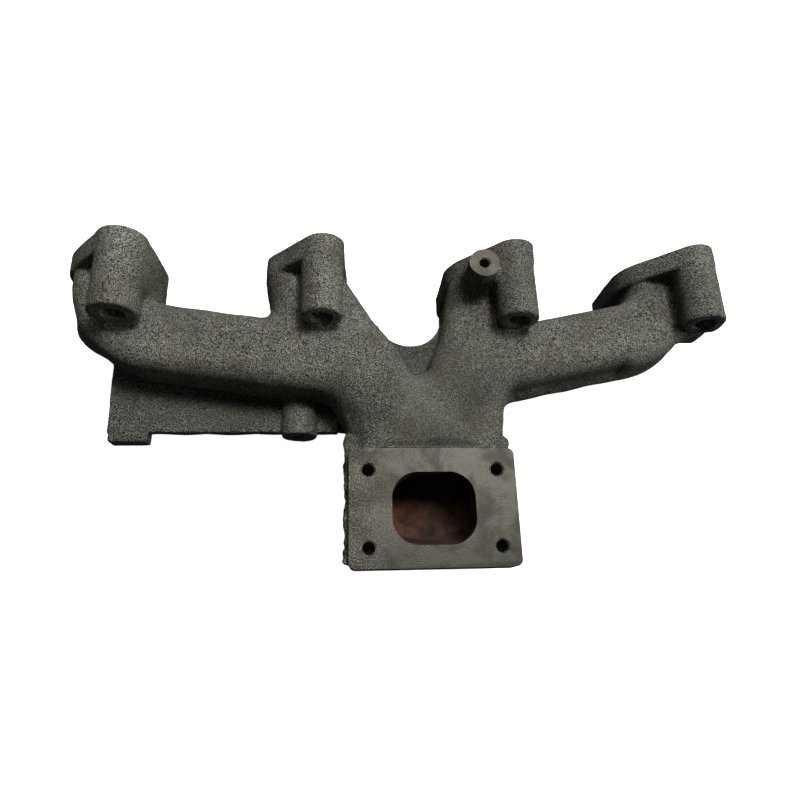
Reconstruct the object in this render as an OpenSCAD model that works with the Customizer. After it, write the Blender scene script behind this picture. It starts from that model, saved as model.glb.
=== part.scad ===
// Four-port exhaust manifold casting with a four-bolt turbocharger flange.
//
// Millimetres. The origin is the centre of the turbo flange's bolt pattern on its machined face.
// +X runs along the engine, +Y points into the cylinder head, +Z leaves the turbo face.
// The real object is one iron casting. It is drawn here feature by feature, and the solids
// meet face to face with no overlap.

/* [Engine side] */
// Distance between neighbouring cylinders
port_pitch = 130; // [128:1:134]
// X of the first upper head bolt
first_bolt_x = -202; // [-204:1:-200]
// Y of the machined head faces
head_y = 173; // [172:1:175]
// Thickness of each port flange
plate_t = 14; // [12:1:16]
// Z of the upper head bolts
upper_bolt_z = 26.5; // [26:0.5:28]
// Length of the upper bolt columns, head face included
column_len = 54.6; // [52:0.2:56]
// Outer radius of the upper bolt columns
column_r = 13.6; // [13.2:0.2:14]
// Outer radius of the first, heavier column
end_column_r = 15.4; // [15:0.2:16]
// Diameter of the head bolt holes
head_bolt_d = 13.5; // [12:0.5:14]

/* [Ducts] */
// Z of the duct centre lines
duct_z = -9; // [-10:0.5:-8]
// Outer radius of the cast ducts
duct_r = 26.5; // [26:0.5:27.5]
// Wall of the cast ducts
wall = 6.5; // [6:0.5:7]
// Centre line radius of the two end elbows
bend_r = 40; // [38:1:42]
// Fall of the left duct towards the collector, in degrees
left_fall = 7.5; // [7:0.5:8.5]
// Fall of the right duct towards the collector, in degrees
right_fall = 12.5; // [12:0.5:13]

/* [Turbo flange] */
// Width of the flange plate
flange_w = 108.5; // [106:0.5:110]
// Height of the flange plate
flange_h = 75.8; // [74:0.2:77]
// Thickness of the flange plate
flange_t = 18; // [17:0.5:20]
// Bolt spacing along the engine
turbo_bolt_w = 84; // [84:0.5:85]
// Bolt spacing across the engine
turbo_bolt_h = 49; // [48:0.5:50]
// Depth of the four blind stud holes
turbo_tap_depth = 15; // [12:0.5:16]
// Tapping drill of the four stud holes
turbo_tap_d = 8.5; // [6.8:0.1:8.6]
// Width of the gas opening
mouth_w = 54; // [52:0.5:55]
// Height of the gas opening
mouth_h = 46.4; // [44:0.2:47]
// Corner radius of the gas opening
mouth_r = 17; // [13:0.5:18]

/* [Bosses and bracket] */
// Height of the machined sensor boss face above the turbo face
sensor_z = 42; // [40:0.5:44]
// Radius of the sensor boss
sensor_r = 10.2; // [9.5:0.1:11]
// Tapping drill of the sensor boss and of the bracket boss
small_tap_d = 6.8; // [6.5:0.1:7]
// Thickness of the bracket plate
bracket_t = 8; // [7:0.5:9]
// Z of the top of the bracket plate
bracket_top = -26; // [-27:0.5:-25]

/* [Hidden] */
$fn = 96;
far = 400;
bore_r = duct_r - wall;
second_r = duct_r - 2;
plate_y = head_y - plate_t;
column_y = head_y - column_len;
flange_mid_y = 0.9;
flange_top_y = flange_mid_y + flange_h / 2;
flange_low_y = flange_mid_y - flange_h / 2;
port_dx = -14;
port_dz = duct_z - upper_bolt_z;
lower_bolt = [-30, -71];
sensor = [34, 153];
gusset_top = -4;
bracket_y = 57;
boss_x = -88;
boss_r = 12;
swell = 1.2;
neck_half = 47.5;
neck_low = -52;
neck_roof = -3;
lobe_r = 13;
ring_r = [30, 27.5, 29, 30];
saddle = [[-30, 66, 17], [34, 72, 16]];

function bolt_x(i) = first_bolt_x + port_pitch * i;
function port_x(i) = bolt_x(i) + port_dx;
function heading(a) = [cos(a), sin(a)];
function along(p, a, s) = p + s * heading(a);
function on_line_x(p, a, x) = [x, p.y + (x - p.x) * tan(a)];

// Plan points of the duct centre lines
left_bend = [port_x(0) + bend_r, head_y - 19.3];
left_start = along(left_bend, 270 - left_fall, bend_r);
left_cut = along(left_start, -left_fall, 64);
left_end = on_line_x(left_start, -left_fall, -45);
right_bend = [port_x(3) - bend_r, plate_y];
right_start = along(right_bend, right_fall - 90, bend_r);
right_cut = along(right_start, 180 + right_fall, 62);
right_end = on_line_x(right_start, right_fall, 40);
diagonal_top = [port_x(1) - 1, head_y - 9.6];
diagonal_end = along(diagonal_top, -59, 92);
third_end = [27.7, 92];

// Planes that part the collector into its castings' features
neck_y = 66;
split_x = -4;
left_x = -56;
throat_y = 138;
throat_low_y = 112;
// Turn of each end elbow that belongs to its port half
port_turn = 41;

// Round bar between two plan points, at duct height
module bar(from, to, r) {
    run = to - from;
    translate([from.x, from.y, duct_z])
        rotate([0, 90, atan2(run.y, run.x)])
            cylinder(r = r, h = norm(run));
}

// Quarter-like bend in the duct plane; inner is the radius of its bore, 0 for a solid bend
module bend(centre, from_angle, sweep, r, inner = 0) {
    translate([centre.x, centre.y, duct_z])
        rotate([0, 0, from_angle])
            rotate_extrude(angle = sweep)
                translate([bend_r, 0])
                    difference() {
                        circle(r = r);
                        if (inner > 0)
                            circle(r = inner);
                    }
}

// Axis-aligned box from two corners
module block(low, high) {
    translate(low)
        cube(high - low);
}

// Round hole or boss along Y, from y0 to y1
module along_y(x, z, r, y0, y1) {
    translate([x, y0, z])
        rotate([-90, 0, 0])
            cylinder(r = r, h = y1 - y0);
}

module rounded_rectangle(w, h, r) {
    square([w - 2 * r, h], center = true);
    square([w, h - 2 * r], center = true);
    for (sx = [-1, 1], sy = [-1, 1])
        translate([sx * (w / 2 - r), sy * (h / 2 - r)])
            circle(r = r);
}

// The two ducts that meet left of the neck
module left_ducts(r) {
    bar(left_cut, left_end, r);
    bar([port_x(1), plate_y], [port_x(1), 108], min(r, second_r));
    bar(diagonal_top, diagonal_end, r);
}

// The two ducts that meet right of the neck
module right_ducts(r) {
    bar(right_cut, right_end, r);
    bar([port_x(2), head_y], third_end, r);
}

// Mouth of the funnel where it meets the turbo elbow
module funnel_mouth(inset) {
    r = inset > 0 ? 8 : 12;
    half = neck_half - inset;
    low = neck_low + inset;
    roof = inset > 0 ? -flange_t - 1 : neck_roof;
    for (sx = [-1, 1], z = [low + r, roof - r])
        translate([sx * (half - r), flange_top_y - 4, z])
            rotate([-90, 0, 0])
                cylinder(r = r, h = 8, $fn = 32);
}

// Twin funnels from the ducts down to the turbo elbow, with a saddle between them.
// inset is the wall, for the inside.
module funnel(inset) {
    for (end = [diagonal_end, third_end])
        hull() {
            funnel_mouth(inset);
            translate([end.x, end.y, duct_z])
                rotate([90, 0, 0])
                    sphere(r = duct_r + swell - inset, $fn = 32);
        }
    hull() {
        funnel_mouth(inset);
        for (s = saddle)
            translate([s.x, s.y, duct_z])
                rotate([90, 0, 0])
                    sphere(r = s.z - inset, $fn = 32);
    }
}

module port_outline(i) {
    hull() {
        circle(r = i == 0 ? end_column_r : column_r);
        translate([port_dx, port_dz])
            circle(r = ring_r[i]);
        translate(lower_bolt)
            circle(r = lobe_r);
        translate([4, -46.5])
            circle(r = 12);
        if (i < 3)
            translate([-27.5, -24.5])
                circle(r = 12);
    }
}

module port_flange(i) {
    color("#5f5e54")
        difference() {
            translate([bolt_x(i), head_y, upper_bolt_z])
                rotate([90, 0, 0])
                    linear_extrude(plate_t)
                        port_outline(i);
            along_y(port_x(i), duct_z, bore_r, plate_y - 1, head_y + 1);
            along_y(bolt_x(i), upper_bolt_z, head_bolt_d / 2, plate_y - 1, head_y + 1);
            along_y(bolt_x(i) + lower_bolt.x, upper_bolt_z + lower_bolt.y, head_bolt_d / 2,
                plate_y - 1, head_y + 1);
        }
}

// Solid ducts that pass under the bolt columns
module under_column(i) {
    if (i == 0) {
        bend(left_bend, 180, 90 - left_fall, duct_r);
        bar([port_x(0), plate_y], left_bend - [bend_r, 0], duct_r);
        bar(left_start, left_cut, duct_r);
    }
    if (i == 1)
        left_ducts(duct_r);
    if (i == 2)
        right_ducts(duct_r);
    if (i == 3) {
        bend(right_bend, right_fall - 90, 90 - right_fall, duct_r);
        bar(right_start, right_cut, duct_r);
    }
}

module bolt_column(i) {
    r = i == 0 ? end_column_r : column_r;
    color("#5b5c58")
        difference() {
            union() {
                along_y(bolt_x(i), upper_bolt_z, r, column_y, plate_y);
                block([bolt_x(i) - r, column_y, 8], [bolt_x(i) + r, plate_y, upper_bolt_z]);
            }
            under_column(i);
            along_y(bolt_x(i), upper_bolt_z, head_bolt_d / 2, column_y - 1, plate_y + 1);
        }
}

module column_lug_4() {
    color("#55564e")
        difference() {
            block([bolt_x(3) - 12, column_y, duct_z], [bolt_x(3) + 11.5, 150, 8]);
            under_column(3);
        }
}

module elbow_1_port() {
    start = left_bend - [bend_r, 0];
    color("#5f5e54")
        union() {
            bend(left_bend, 180, port_turn, duct_r, bore_r);
            difference() {
                bar([port_x(0), plate_y], start, duct_r);
                bar([port_x(0), plate_y + 1], start, bore_r);
            }
        }
}

module elbow_1() {
    color("#5f5e54")
        bend(left_bend, 180 + port_turn, 90 - left_fall - port_turn, duct_r, bore_r);
}

module runner_1() {
    color("#5f5e54")
        difference() {
            bar(left_start, left_cut, duct_r);
            bar(left_start, left_cut, bore_r);
        }
}

module elbow_4() {
    color("#5f5e54")
        bend(right_bend, right_fall - 90, 90 - right_fall - port_turn, duct_r, bore_r);
}

module elbow_4_port() {
    color("#5f5e54")
        bend(right_bend, -port_turn, port_turn, duct_r, bore_r);
}

module runner_4() {
    color("#5f5e54")
        difference() {
            bar(right_start, right_cut, duct_r);
            bar(right_start, right_cut, bore_r);
        }
}

module port_tube_2() {
    color("#5f5e54")
        intersection() {
            difference() {
                left_ducts(duct_r);
                left_ducts(bore_r);
            }
            block([-far, throat_y, -far], [split_x, plate_y, far]);
        }
}

module port_tube_3() {
    color("#5f5e54")
        intersection() {
            difference() {
                bar([port_x(2), head_y], third_end, duct_r);
                bar([port_x(2), head_y], third_end, bore_r);
            }
            block([-far, throat_y, -far], [far, plate_y, far]);
        }
}

// One slice of the collector, between two X planes and two Y planes; left and right say which
// ducts reach it
module collector(x0, x1, left, right, y0 = neck_y, y1 = throat_y) {
    color("#5f5e54")
        intersection() {
            difference() {
                union() {
                    if (left)
                        left_ducts(duct_r);
                    if (right)
                        right_ducts(duct_r);
                    funnel(0);
                }
                if (left)
                    left_ducts(bore_r);
                if (right)
                    right_ducts(bore_r);
                funnel(wall);
            }
            block([x0, y0, -far], [x1, y1, far]);
        }
}

module neck() {
    color("#5f5f56")
        intersection() {
            difference() {
                funnel(0);
                funnel(wall);
            }
            block([-far, flange_top_y, -far], [far, neck_y, far]);
        }
}

module turbo_flange() {
    color("#74716a")
        difference() {
            translate([0, flange_mid_y, -flange_t])
                linear_extrude(flange_t)
                    rounded_rectangle(flange_w, flange_h, 5);
            translate([0, 0, -flange_t - 1])
                linear_extrude(flange_t + 2)
                    rounded_rectangle(mouth_w, mouth_h, mouth_r);
            for (sx = [-1, 1], sy = [-1, 1])
                translate([sx * turbo_bolt_w / 2, sy * turbo_bolt_h / 2, -turbo_tap_depth])
                    cylinder(d = turbo_tap_d, h = turbo_tap_depth + 1);
        }
}

module elbow_shape(inset) {
    r = inset > 0 ? 8 : 12;
    half = neck_half - inset;
    hull() {
        for (sx = [-1, 1])
            translate([sx * (half - r), flange_top_y - 12, neck_low + inset + r])
                rotate([-90, 0, 0])
                    cylinder(r = r, h = inset > 0 ? 14 : 12, $fn = 32);
        for (sx = [-1, 1])
            translate([sx * (22 - inset), inset - 12, neck_low + 17])
                sphere(r = 17 - inset, $fn = 32);
        translate([0, 0, -flange_t - 2])
            linear_extrude(inset > 0 ? 3 : 2)
                rounded_rectangle(mouth_w + 16 - 2.46 * inset, mouth_h + 14 - 2.15 * inset, mouth_r);
        translate([0, flange_top_y - 4, -flange_t - 4])
            linear_extrude(4 - inset / 6)
                square([2 * half - 8, 8 - (inset > 0 ? 0 : 8) + 0.1], center = true);
    }
}

// Half of the elbow under the flange, between two X planes
module turbo_elbow(x0, x1) {
    color("#5b5a51")
        intersection() {
            difference() {
                elbow_shape(0);
                elbow_shape(wall);
            }
            block([x0, -far, -far], [x1, flange_top_y, -flange_t]);
        }
}

module gusset_web() {
    color("#3d403a")
        difference() {
            block([-44, 70, gusset_top - 12], [22, 127, gusset_top]);
            left_ducts(duct_r);
            right_ducts(duct_r);
            funnel(0);
            translate([-12, 136.7, gusset_top - 20])
                cylinder(r = 22.7, h = 40);
        }
}

module sensor_boss() {
    color("#78766a")
        difference() {
            translate([sensor.x, sensor.y, duct_z + 15])
                cylinder(r = sensor_r, h = sensor_z - duct_z - 15);
            right_ducts(duct_r);
            translate([bolt_x(2), head_y, upper_bolt_z])
                rotate([90, 0, 0])
                    linear_extrude(plate_t)
                        port_outline(2);
            translate([sensor.x, sensor.y, sensor_z - 18])
                cylinder(d = small_tap_d, h = 19);
        }
}

module bracket_plate() {
    color("#474942")
        difference() {
            translate([0, 0, bracket_top - bracket_t])
                linear_extrude(bracket_t)
                    polygon([[-216, bracket_y], [-217.5, 106], [boss_x, 92], [boss_x, bracket_y]]);
            under_column(0);
            left_ducts(duct_r);
            along_y(boss_x, bracket_top, boss_r, 0, 120);
        }
}

module bracket_foot() {
    color("#474942")
        block([-216, bracket_y - 6.5, bracket_top - 13], [-190, bracket_y, bracket_top]);
}

module bracket_boss() {
    color("#474942")
        difference() {
            along_y(boss_x, bracket_top, boss_r, bracket_y - 4, 96);
            left_ducts(duct_r);
            along_y(boss_x, bracket_top, small_tap_d / 2, bracket_y - 5, bracket_y + 16);
        }
}

module bracket_ear() {
    color("#474942")
        difference() {
            translate([0, 0, bracket_top - bracket_t])
                linear_extrude(bracket_t)
                    polygon([[boss_x, bracket_y], [boss_x, 75], [-73, 75], [-61, 66],
                        [-60, bracket_y]]);
            along_y(boss_x, bracket_top, boss_r, 0, 120);
        }
}

module bracket_web() {
    color("#3a3c36")
        difference() {
            translate([0, 0, bracket_top - 2 * bracket_t])
                linear_extrude(bracket_t)
                    polygon([[-104, bracket_y + 1], [-104, 100], [-44, 100], [-44, 46], [-57, 46],
                        [-61, bracket_y + 1]]);
            left_ducts(duct_r);
            funnel(0);
            along_y(boss_x, bracket_top, boss_r, 0, 120);
        }
}

module flange_shoulder() {
    color("#474942")
        difference() {
            translate([0, 0, -flange_t])
                linear_extrude(flange_t - 5)
                    polygon([[-57.5, -34], [-58.5, 50], [-44, 50], [-44, flange_top_y],
                        [-flange_w / 2, flange_top_y], [-flange_w / 2, -34]]);
            funnel(0);
        }
}

turbo_flange();
turbo_elbow(-far, 0);  // turbo_elbow_left
turbo_elbow(0, far);  // turbo_elbow_right
neck();
collector(-far, left_x, true, false, neck_y, throat_low_y);  // collector_left
collector(left_x, split_x, true, false);  // collector_centre
collector(split_x, far, false, true, neck_y, throat_low_y);  // collector_right
collector(-far, left_x, true, false, throat_low_y, throat_y);  // throat_2
collector(split_x, far, false, true, throat_low_y, throat_y);  // throat_3
elbow_1_port();
elbow_1();
runner_1();
port_tube_2();
port_tube_3();
runner_4();
elbow_4();
elbow_4_port();
port_flange(0);  // port_flange_1
port_flange(1);  // port_flange_2
port_flange(2);  // port_flange_3
port_flange(3);  // port_flange_4
bolt_column(0);  // bolt_column_1
bolt_column(1);  // bolt_column_2
bolt_column(2);  // bolt_column_3
bolt_column(3);  // bolt_column_4
column_lug_4();
gusset_web();
sensor_boss();
bracket_plate();
bracket_foot();
bracket_boss();
bracket_ear();
bracket_web();
flange_shoulder();
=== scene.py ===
"""Visual model of a four-port exhaust manifold casting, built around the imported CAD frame.

The casting's skin is one signed distance field in millimetres. It is meshed once, machined with
cutters, and parted into one closed piece for each CAD node.
"""
import bpy
import math
import numpy as np
import openvdb
from mathutils import Matrix, Vector


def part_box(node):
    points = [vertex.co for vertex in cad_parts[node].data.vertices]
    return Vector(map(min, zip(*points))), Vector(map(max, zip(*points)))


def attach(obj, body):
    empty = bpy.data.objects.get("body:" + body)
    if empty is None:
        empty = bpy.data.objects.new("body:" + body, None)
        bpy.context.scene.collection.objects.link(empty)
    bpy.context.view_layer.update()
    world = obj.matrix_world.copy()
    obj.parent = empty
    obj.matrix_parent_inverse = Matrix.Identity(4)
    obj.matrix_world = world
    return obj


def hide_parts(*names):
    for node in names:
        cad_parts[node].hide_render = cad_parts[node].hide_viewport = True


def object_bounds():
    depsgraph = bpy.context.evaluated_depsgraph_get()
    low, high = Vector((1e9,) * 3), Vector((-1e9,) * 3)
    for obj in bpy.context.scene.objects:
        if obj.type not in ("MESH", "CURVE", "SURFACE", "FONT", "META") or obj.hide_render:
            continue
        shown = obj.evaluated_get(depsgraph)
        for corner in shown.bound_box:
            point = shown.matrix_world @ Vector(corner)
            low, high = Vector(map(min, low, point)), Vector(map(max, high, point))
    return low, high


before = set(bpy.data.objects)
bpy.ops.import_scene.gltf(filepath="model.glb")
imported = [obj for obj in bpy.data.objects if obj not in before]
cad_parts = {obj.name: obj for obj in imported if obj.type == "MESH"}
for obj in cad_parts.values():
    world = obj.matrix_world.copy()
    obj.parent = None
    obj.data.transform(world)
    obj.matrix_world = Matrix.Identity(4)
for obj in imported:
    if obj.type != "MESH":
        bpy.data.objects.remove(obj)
cad_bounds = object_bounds()
CELL = 1.15    # grid cell of the distance field, millimetres
MM = 0.001
FAR = 60.0                            # plain large distance outside a feature's own box


def mm_box(node):
    """Lowest and highest corner of a CAD node, in millimetres."""
    low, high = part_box(node)
    return np.array(low) / MM, np.array(high) / MM


# ------------------------------------------------------------------ sizes, from the CAD nodes
FLANGE_LOW, FLANGE_HIGH = mm_box("turbo_flange")
FLANGE_T = -FLANGE_LOW[2]
HEAD_Y = mm_box("port_flange_1")[1][1]
PLATE_Y = mm_box("port_flange_1")[0][1]
COLUMN_END_Y = mm_box("bolt_column_2")[0][1]
COLUMN_X = [float(sum(c[0] for c in mm_box(f"bolt_column_{i}")) / 2) for i in (1, 2, 3, 4)]
COLUMN_R = [float((mm_box(f"bolt_column_{i}")[1] - mm_box(f"bolt_column_{i}")[0])[0] / 2)
            for i in (1, 2, 3, 4)]
BOLT_Z = mm_box("bolt_column_2")[1][2] - COLUMN_R[1]
DUCT_Z = -9.0                         # height of the duct centre lines
PORT_SHIFT = 14.0                     # from a port's centre to its upper bolt, along X
PORT_X = [x - PORT_SHIFT for x in COLUMN_X]
LOWER_BOLT = (-30, -71)               # from the upper to the lower head bolt, X and Z
BOLT_HOLE_R, BOLT_MOUTH_R, SPOT_FACE_R = 6.75, 7.6, 8.0
STUDS = (42, 24.5)                    # half spacing of the tapped holes in the turbo flange
STUD_TAP = (4.45, 15, 1.5, 0.7)       # radius, depth, pitch and chamfer
SENSOR_TAP = (3.7, 18, 1.25, 0.7)
BOSS_TAP = (3.7, 20, 1.25, 0.7)
MOUTH = (10, 6.2)                     # corner centres of the turbo mouth
MOUTH_RIM_R, MOUTH_FOOT_R, MOUTH_BORE_R = 17.2, 16.1, 16.3
BORE_R, SLIM_BORE_R = 20.0, 18.5
WALL = 6.5
BEND_R = 40.0
SENSOR = np.array([34.0, 153.0])
SENSOR_Z = float(mm_box("sensor_boss")[1][2])
BRACKET_TOP = float(mm_box("bracket_plate")[1][2])
BRACKET_Y = float(mm_box("bracket_plate")[0][1])
BOSS_X = -88.0
NECK_LOW, NECK_ROOF, NECK_HALF = -52.0, -3.0, 47.5
SECTION = (24.0, 22.6, 13.0)          # half width, half height and corner radius of a runner
ROUND_SECTION = (22.5, 22.4, 16.0)    # the rounder tube of port 2
SLIM_SECTION = (22.6, 22.6, 13.0)     # the right runner, which has a step along its foot

LEFT_ANGLE, RIGHT_ANGLE, DIAGONAL_ANGLE = 7.5, 12.5, math.radians(59)
LEFT_FALL, RIGHT_FALL = math.radians(LEFT_ANGLE), math.radians(RIGHT_ANGLE)
LEFT_BEND = np.array([PORT_X[0] + BEND_R, HEAD_Y - 19.3])
LEFT_START = LEFT_BEND + BEND_R * np.array([-math.sin(LEFT_FALL), -math.cos(LEFT_FALL)])
LEFT_END = LEFT_START + (-45 - LEFT_START[0]) * np.array([1, -math.tan(LEFT_FALL)])
RIGHT_BEND = np.array([PORT_X[3] - BEND_R, PLATE_Y])
RIGHT_START = RIGHT_BEND + BEND_R * np.array([math.sin(RIGHT_FALL), -math.cos(RIGHT_FALL)])
RIGHT_END = RIGHT_START + (40 - RIGHT_START[0]) * np.array([1, math.tan(RIGHT_FALL)])
DIAGONAL_TOP = np.array([PORT_X[1] - 1, HEAD_Y - 9.6])
DIAGONAL_END = DIAGONAL_TOP + 92 * np.array([math.cos(DIAGONAL_ANGLE),
                                             -math.sin(DIAGONAL_ANGLE)])
THIRD_TOP, THIRD_END = np.array([PORT_X[2], HEAD_Y - 3.0]), np.array([27.7, 92.0])
INWARD = 1.6 * np.array([-math.sin(RIGHT_FALL), math.cos(RIGHT_FALL)])    # away from the step
LEFT_CUT = LEFT_START + 64 * np.array([math.cos(LEFT_FALL), -math.sin(LEFT_FALL)])
RIGHT_CUT = RIGHT_START - 62 * np.array([math.cos(RIGHT_FALL), math.sin(RIGHT_FALL)])


# ------------------------------------------------------------------ distance field, millimetres
def smooth_min(a, b, k):
    """Union of two fields with a fillet of about k."""
    h = np.maximum(k - np.abs(a - b), 0) / k
    return np.minimum(a, b) - h * h * k / 4


def smooth_max(a, b, k):
    return -smooth_min(-a, -b, k)


def within(p, low, high, field, pad=16.0):
    """field(p) inside a padded box, and a plain large distance outside it."""
    low, high = np.asarray(low) - pad, np.asarray(high) + pad
    mask = np.all((p > low) & (p < high), axis=1)
    out = np.full(len(p), FAR, np.float32)
    if mask.any():
        out[mask] = field(p[mask])
    return out


def section(v, w, size):
    """Rounded-rectangle section from the two distances off its centre line."""
    half, height, corner = size
    a = np.abs(v) - (half - corner)
    b = np.abs(w) - (height - corner)
    return (np.hypot(np.maximum(a, 0), np.maximum(b, 0)) + np.minimum(np.maximum(a, b), 0)
            - corner)


def bar(p, a, b, size):
    """Straight duct between two plan points."""
    run = b - a
    length = float(np.hypot(*run))
    t = run / length
    dx, dy = p[:, 0] - a[0], p[:, 1] - a[1]
    u = dx * t[0] + dy * t[1]
    v = dy * t[0] - dx * t[1]
    over = np.maximum(np.maximum(-u, u - length), 0)
    return section(np.hypot(v, over), p[:, 2] - DUCT_Z, size)


def bend(p, centre, first, last, size):
    """Arc of the bend radius between two angles in degrees, in the duct plane."""
    dx, dy = p[:, 0] - centre[0], p[:, 1] - centre[1]
    middle = math.radians((first + last) / 2)
    half = math.radians((last - first) / 2)
    angle = (np.arctan2(dy, dx) - middle + math.pi) % (2 * math.pi) - math.pi
    clamped = np.clip(angle, -half, half) + middle
    lateral = np.hypot(dx - BEND_R * np.cos(clamped), dy - BEND_R * np.sin(clamped))
    return section(lateral, p[:, 2] - DUCT_Z, size)


def box_field(p, low, high, corner):
    low, high = np.asarray(low, float), np.asarray(high, float)
    q = np.abs(p - (low + high) / 2) - ((high - low) / 2 - corner)
    return (np.linalg.norm(np.maximum(q, 0), axis=1) + np.minimum(q.max(axis=1), 0) - corner)


def capped(radial, axial, corner):
    """Rounded solid of revolution from its radial and axial plane distances."""
    a, b = radial + corner, axial + corner
    return np.hypot(np.maximum(a, 0), np.maximum(b, 0)) + np.minimum(np.maximum(a, b), 0) - corner


def cyl_y(p, x, z, r, y0, y1, corner):
    radial = np.hypot(p[:, 0] - x, p[:, 2] - z) - r
    return capped(radial, np.abs(p[:, 1] - (y0 + y1) / 2) - (y1 - y0) / 2, corner)


def cyl_z(p, x, y, r, z0, z1, corner):
    radial = np.hypot(p[:, 0] - x, p[:, 1] - y) - r
    return capped(radial, np.abs(p[:, 2] - (z0 + z1) / 2) - (z1 - z0) / 2, corner)


def circle_hull(u, v, circles, count=144):
    """Distance to the convex outline around circles, by its support lines."""
    angle = np.arange(count) * 2 * math.pi / count
    cu, cv = np.cos(angle).astype(np.float32), np.sin(angle).astype(np.float32)
    reach = np.max([c[0] * cu + c[1] * cv + c[2] for c in circles], axis=0)
    out = np.full(len(u), -1e3, np.float32)
    for k in range(count):
        np.maximum(out, u * cu[k] + v * cv[k] - reach[k], out=out)
    return out


def sphere_directions(count):
    k = np.arange(count) + 0.5
    z = 1 - 2 * k / count
    turn = k * math.pi * (1 + 5 ** 0.5)
    flat = np.sqrt(1 - z * z)
    return np.stack([flat * np.cos(turn), flat * np.sin(turn), z], axis=1)


DIRECTIONS = np.concatenate([sphere_directions(900), np.eye(3), -np.eye(3)]).astype(np.float32)


def body_hull(p, shapes):
    """Distance to the convex body around spheres (s) and discs normal to Y (y) or Z (z)."""
    u = DIRECTIONS
    across = {"s": 1.0, "y": np.hypot(u[:, 0], u[:, 2]), "z": np.hypot(u[:, 0], u[:, 1])}
    reach = np.max([u @ np.array(c, np.float32) + r * across[kind] for kind, c, r in shapes],
                   axis=0).astype(np.float32)
    out = np.empty(len(p), np.float32)
    q = p.astype(np.float32)
    for k in range(0, len(p), 20000):
        out[k:k + 20000] = (q[k:k + 20000] @ u.T - reach).max(axis=1)
    return out


def ripple(p, wavelength, seed, count=7):
    """Sum of sine waves in fixed random directions, about -1 to 1."""
    rng = np.random.default_rng(seed)
    axes = rng.normal(size=(count, 3))
    axes *= (2 * math.pi / wavelength * rng.uniform(0.7, 1.5, (count, 1))
             / np.linalg.norm(axes, axis=1, keepdims=True))
    phase = rng.uniform(0, 2 * math.pi, count)
    out = np.zeros(len(p), np.float32)
    for axis, shift in zip(axes.astype(np.float32), phase):
        out += np.sin(p @ axis + np.float32(shift))
    return out / count ** 0.5


def flash(p):
    """Thin parting bead at the height of the duct centre lines."""
    return 0.55 * np.exp(-((p[:, 2] - DUCT_Z) / 1.0) ** 2)


def mouth_discs(inset):
    """Rounded corners of the neck where it meets the funnel."""
    r = 8 if inset else 12
    roof = -FLANGE_T - 1 if inset else NECK_ROOF
    return [("y", (sx * (NECK_HALF - inset - r), FLANGE_HIGH[1] + dy, z), r)
            for sx in (-1, 1) for z in (NECK_LOW + inset + r, roof - r) for dy in (-4, 4)]


def funnel(p, inset):
    """Neck from the meeting ducts down to the flange, pulled in by the inset."""
    swell = 26.5 + 0.6 - inset
    mouth = mouth_discs(inset)
    out = body_hull(p, mouth + [("s", (*DIAGONAL_END, DUCT_Z), swell)])
    out = smooth_min(out, body_hull(p, mouth + [("s", (*THIRD_END, DUCT_Z), swell)]), 5)
    return smooth_min(out, body_hull(p, mouth + [("s", (-30, 66, DUCT_Z), 17 - inset),
                                                 ("s", (2, 75, DUCT_Z), 18.5 - inset),
                                                 ("s", (34, 72, DUCT_Z), 16 - inset)]), 5)


def under_elbow(p, inset):
    """Elbow below the turbo flange, pulled in by the inset."""
    corner = 17
    r = 8 if inset else 12
    half = NECK_HALF - inset
    top = FLANGE_HIGH[1]
    shapes = [("y", (sx * (half - r), y, NECK_LOW + inset + r), r)
              for sx in (-1, 1) for y in (top - 12, top + (2 if inset else 0))]
    shapes += [("s", (sx * (22 - inset), inset - 12, NECK_LOW + corner), corner - inset)
               for sx in (-1, 1)]
    wide, deep = 35 - 1.23 * inset - corner, 30.2 - 1.075 * inset - corner
    shapes += [("z", (sx * wide, sy * deep, z), corner)
               for sx in (-1, 1) for sy in (-1, 1)
               for z in (-FLANGE_T - 2, -FLANGE_T + (1 if inset else 0))]
    if not inset:
        shapes += [("y", (sx * (half - 4), top, -FLANGE_T - 2), 2) for sx in (-1, 1)]
    return body_hull(p, shapes)


class Lattice:
    """Values on a regular grid, read back between its points."""

    def __init__(self, low, step, values):
        self.low, self.step, self.values = np.asarray(low, np.float32), step, values

    def __call__(self, p):
        values = self.values
        q = (p - self.low) / self.step
        cell = np.clip(q.astype(np.int32), 0, np.array(values.shape[:3]) - 2)
        t = np.clip(q - cell, 0, 1)
        x, y, z = cell.T
        out = 0.0
        for i in (0, 1):
            for j in (0, 1):
                for k in (0, 1):
                    weight = ((t[:, 0] if i else 1 - t[:, 0]) * (t[:, 1] if j else 1 - t[:, 1])
                              * (t[:, 2] if k else 1 - t[:, 2]))
                    found = values[x + i, y + j, z + k]
                    out = out + (weight if found.ndim == 1 else weight[:, None]) * found
        return out.astype(np.float32)


def lattice(field, low, high, step):
    """A slow field, stored once on a coarse grid."""
    axes = [np.arange(a, b + step, step, dtype=np.float32) for a, b in zip(low, high)]
    points = np.stack(np.meshgrid(*axes, indexing="ij"), axis=-1)
    values = field(points.reshape(-1, 3)).reshape(points.shape[:3])
    return Lattice(low, step, values)


OUTER_NECK_BOX = (-78, -48, -62), (70, 130, 30)
INNER_NECK_BOX = (-70, -40, -56), (64, 124, 24)
OUTER_NECK = lattice(lambda q: smooth_min(funnel(q, 0), under_elbow(q, 0), 5),
                     *OUTER_NECK_BOX, 3.0)
INNER_NECK = lattice(lambda q: smooth_min(funnel(q, WALL), under_elbow(q, WALL), 4),
                     *INNER_NECK_BOX, 3.0)


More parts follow.
